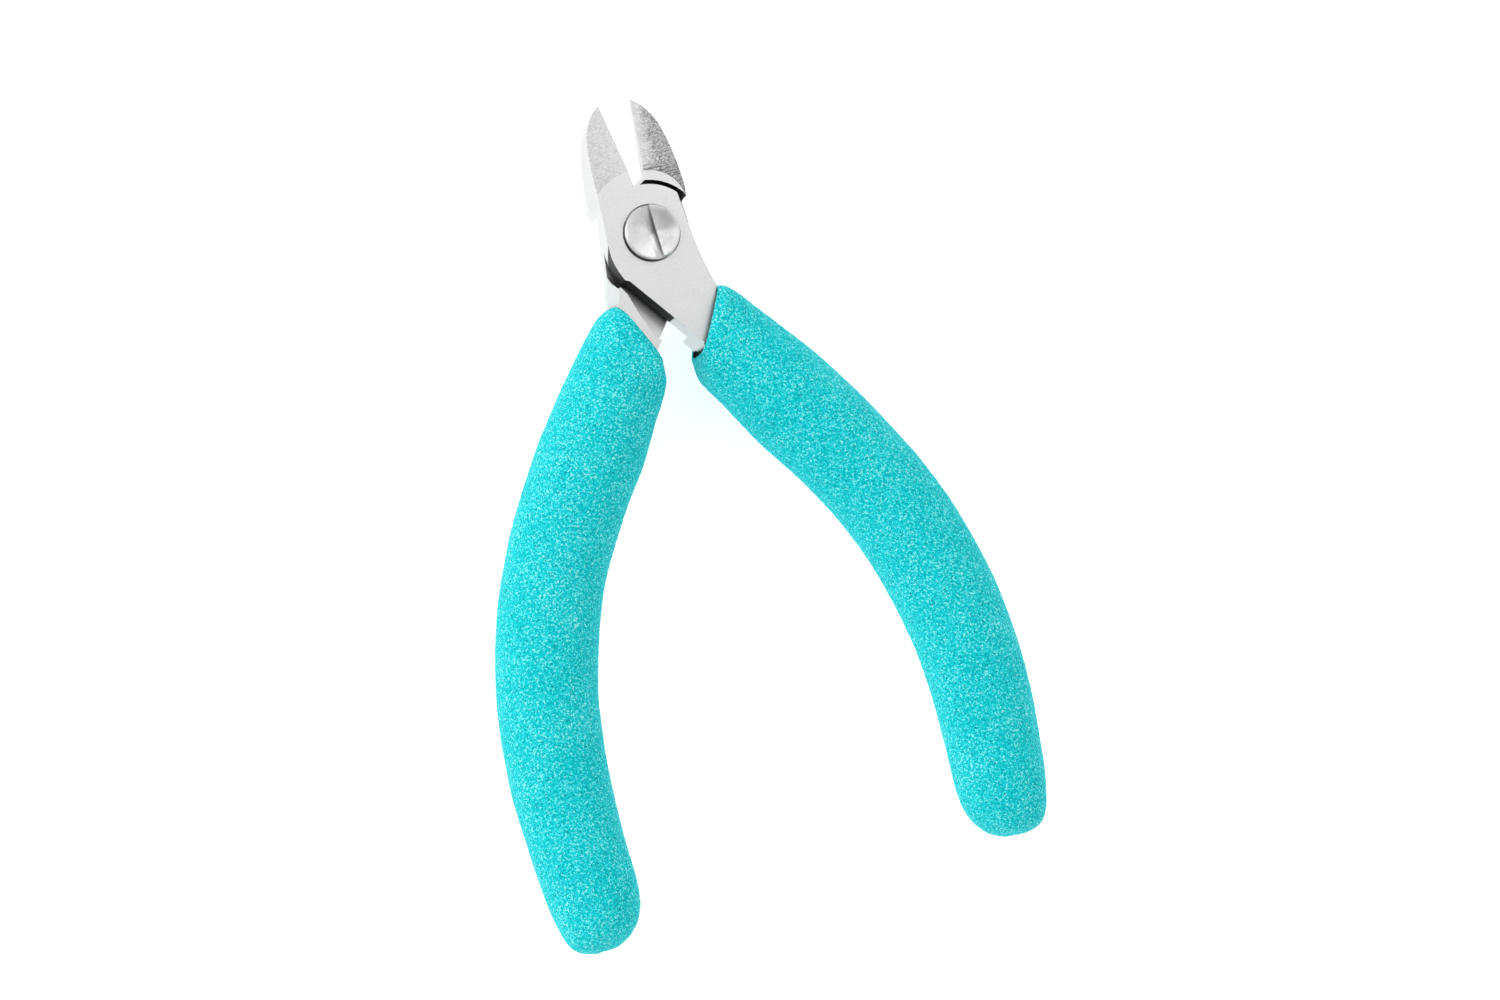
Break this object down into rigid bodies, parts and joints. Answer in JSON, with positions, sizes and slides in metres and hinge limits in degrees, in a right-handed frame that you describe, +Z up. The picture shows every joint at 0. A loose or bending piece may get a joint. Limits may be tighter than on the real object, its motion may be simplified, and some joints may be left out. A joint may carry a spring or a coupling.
{
  "type": "flush cutter",
  "caption": "Small flush cutter with lapped steel levers on a slotted joint screw, a hidden return spring and curved foam grips.",
  "frame": {"origin": "on the table below the middle of the bounding box, with the tool lying flat on its grips, front face up, sprung open", "axes": "+Z up out of the front face, +Y towards the jaw tips, +X towards the handle of the front lever; the joint axis is parallel to Z"},
  "size_m": [0.0758, 0.116, 0.0148],
  "materials": {
    "satin_steel": "bead-blasted satin with ground jaw faces",
    "turned_steel": "turned, fine circular tool marks",
    "spring_steel": "drawn and oiled",
    "turquoise_foam": "matt open-pored dipped foam"
  },
  "bodies": {
    "rear_half": {"rear_lever": "satin_steel", "joint_screw": "turned_steel", "lock_nut": "turned_steel", "spring_washer": "spring_steel", "return_spring": "spring_steel", "rear_grip": "turquoise_foam"},
    "front_half": {"front_lever": "satin_steel", "front_grip": "turquoise_foam"}
  },
  "joints": [
    {"name": "pivot", "type": "hinge", "parent": "rear_half", "child": "front_half", "pos_m": [0, 0.03834, 0.0074], "axis": [0, 0, 1], "range_deg": [-13.2, 0], "stiffness_Nm_per_rad": 0.6, "springref_deg": 20.05, "deforming": ["return_spring"]}
  ]
}
